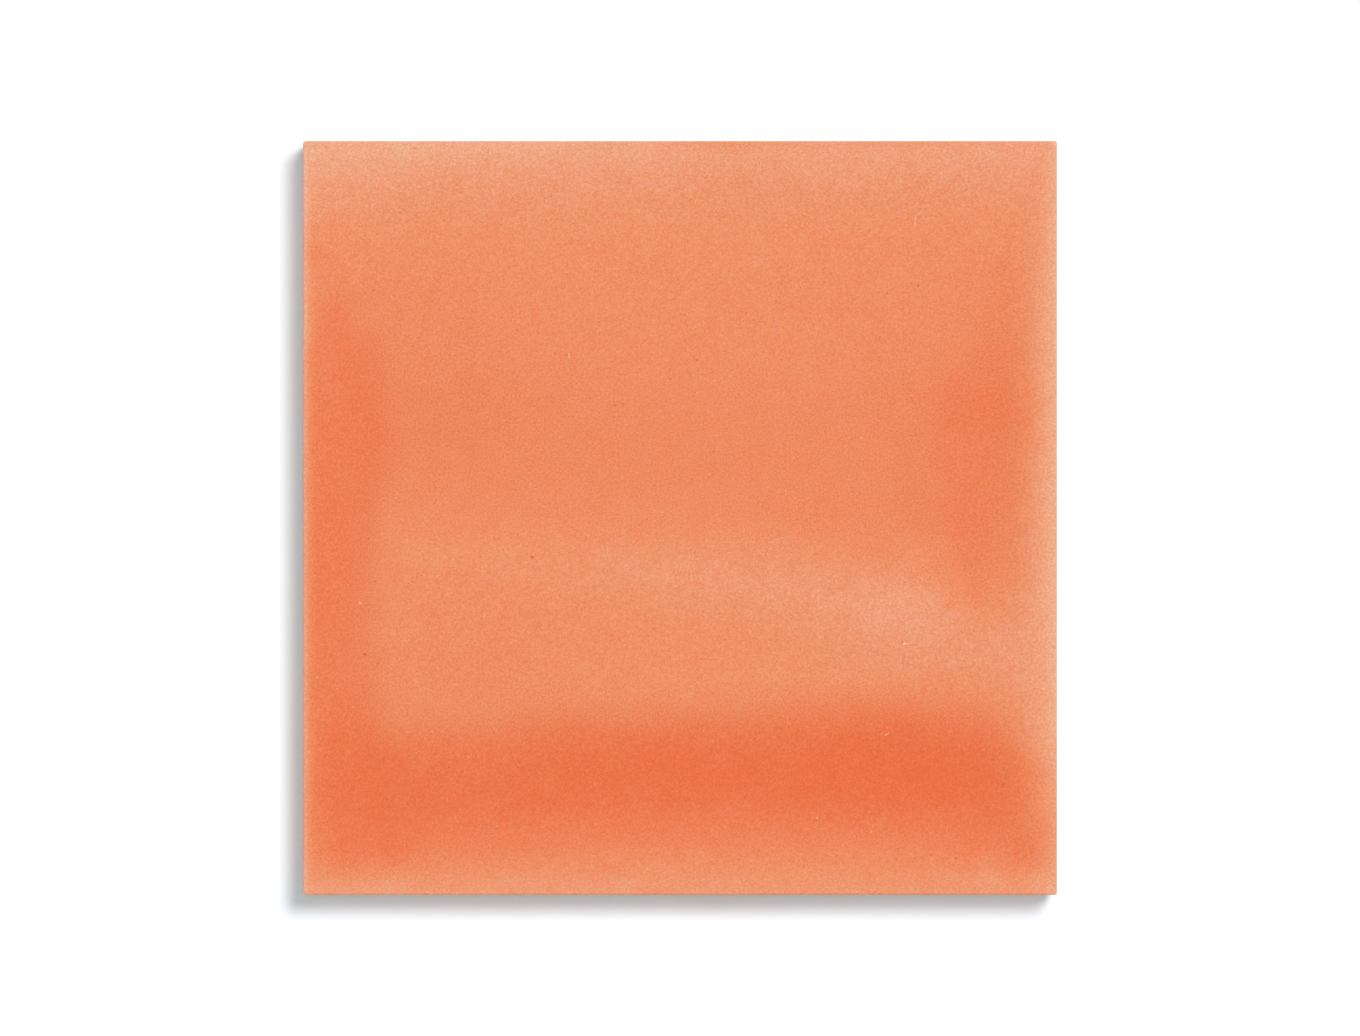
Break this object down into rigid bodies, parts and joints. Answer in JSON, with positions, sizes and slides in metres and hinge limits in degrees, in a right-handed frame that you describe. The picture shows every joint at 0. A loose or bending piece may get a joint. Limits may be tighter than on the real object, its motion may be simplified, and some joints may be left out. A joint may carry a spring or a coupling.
{
  "type": "wall tile",
  "caption": "Square glazed ceramic wall tile with a gently wavy face, eased arrises, drafted sides and a key pattern on the back, for fixing to a wall with adhesive.",
  "frame": {"origin": "middle of the back, on the bedding plane that the key pattern's lands lie in", "axes": "+Z out of the back towards the glazed face, +Y towards the edge that is the top one in the picture, +X towards its right edge; the tile lies on its back"},
  "size_m": [0.1, 0.1, 0.008],
  "materials": {
    "glazed_body": "gloss"
  },
  "bodies": {
    "root": {"wall_tile": "glazed_body"}
  },
  "joints": []
}
